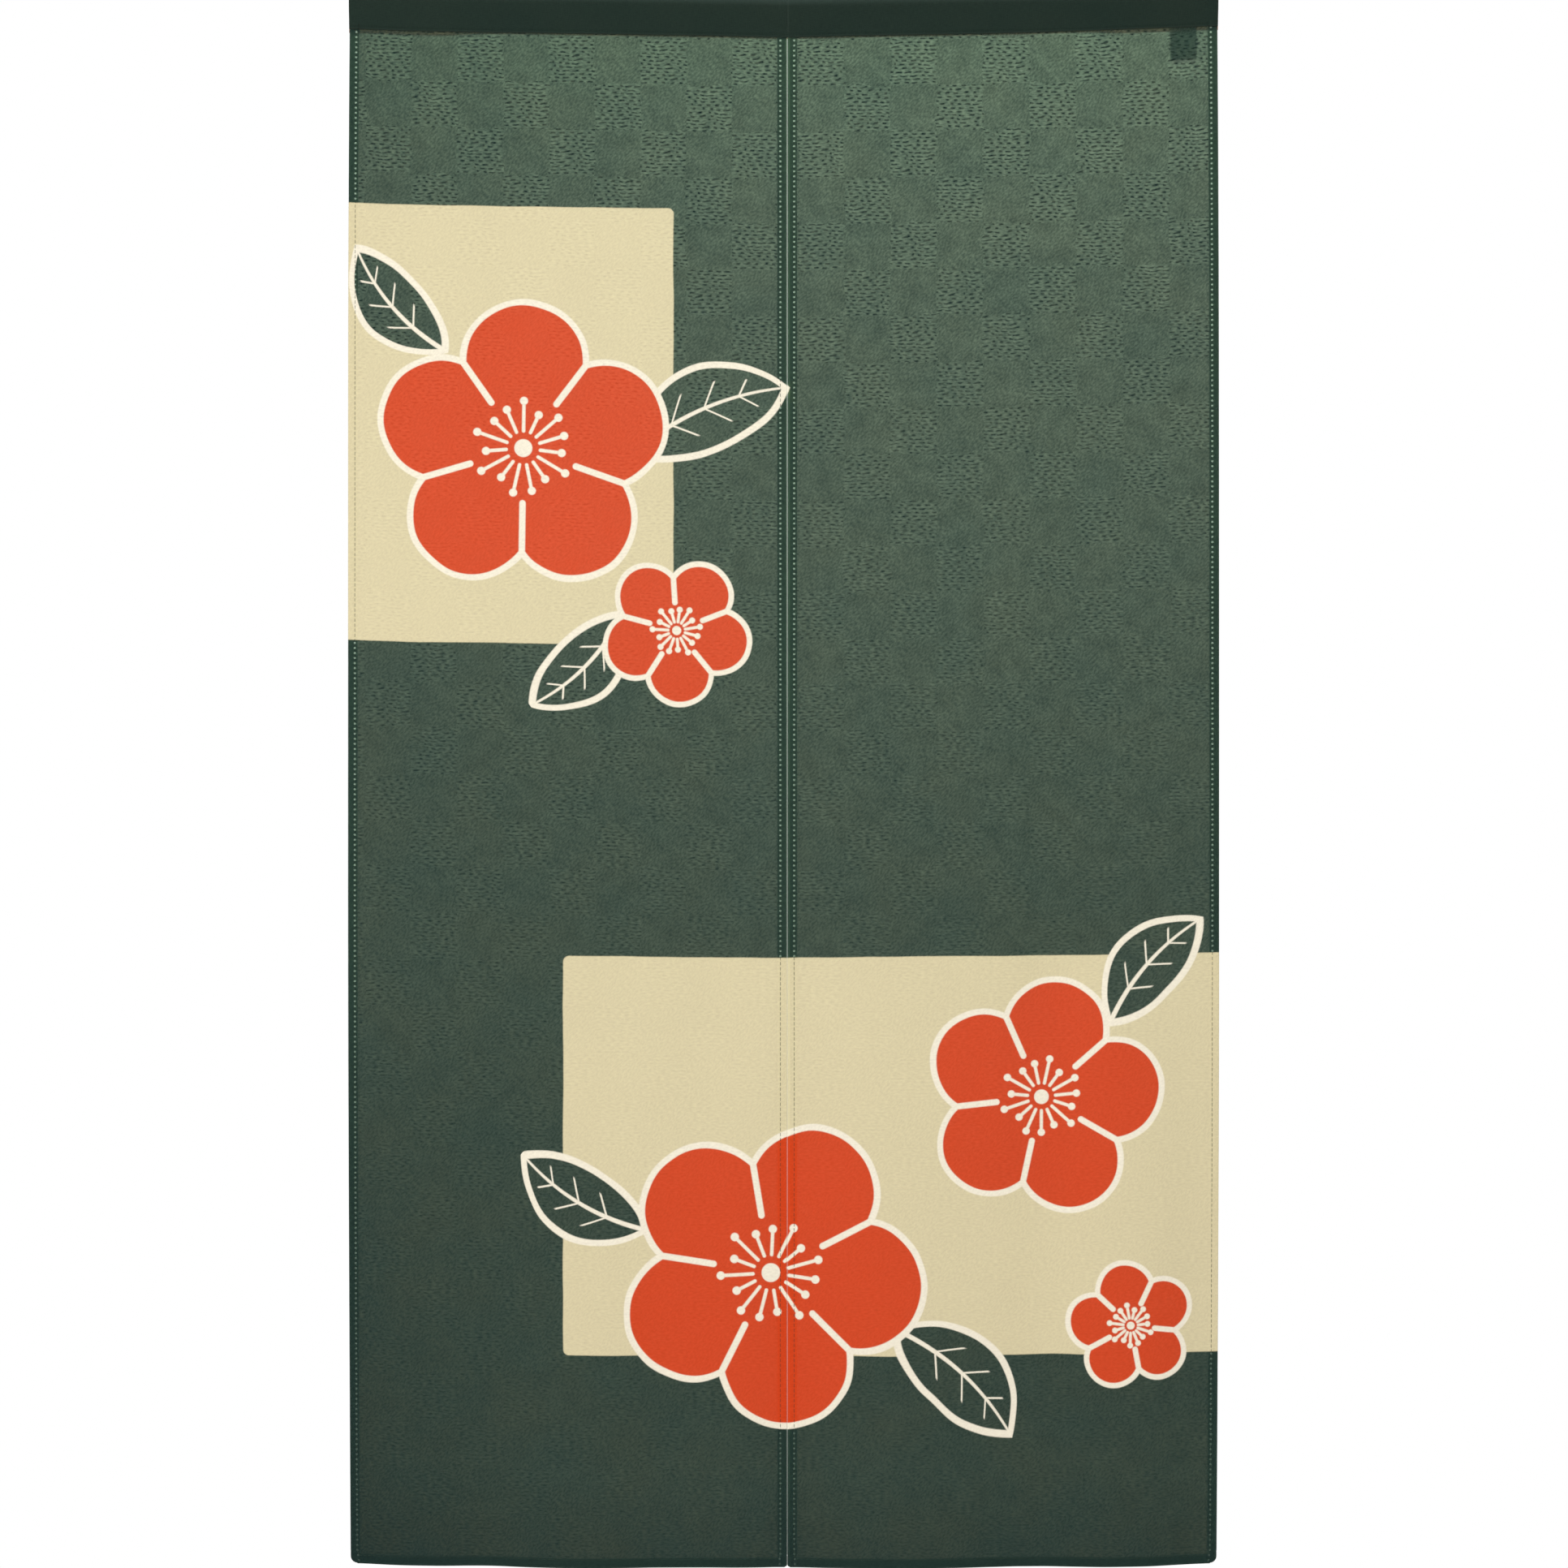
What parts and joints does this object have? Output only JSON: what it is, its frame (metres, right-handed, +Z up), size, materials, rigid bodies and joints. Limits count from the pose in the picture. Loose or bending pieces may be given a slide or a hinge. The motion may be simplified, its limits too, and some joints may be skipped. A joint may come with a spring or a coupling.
{
  "type": "noren curtain",
  "caption": "Japanese split door curtain of printed cloth, hung flat from an open rod pocket, with turned hems and a slit from pocket to foot.",
  "frame": {"origin": "on the top fold at the middle of the width and of the pocket's thickness, where the fold hangs lowest", "axes": "+X to the right as one looks at the front, -Y out of the front of the cloth, +Z up"},
  "size_m": [0.8318, 0.0189, 1.5056],
  "materials": {
    "printed_cloth": "matt woven cloth, dark green ground with a beige and red print",
    "pocket_cloth": "matt woven cloth, double, very dark green",
    "label_tape": "plain satin tape, blank"
  },
  "bodies": {
    "root": {"heading": "pocket_cloth", "panel_left": "printed_cloth", "panel_right": "printed_cloth", "label": "label_tape"}
  },
  "joints": []
}
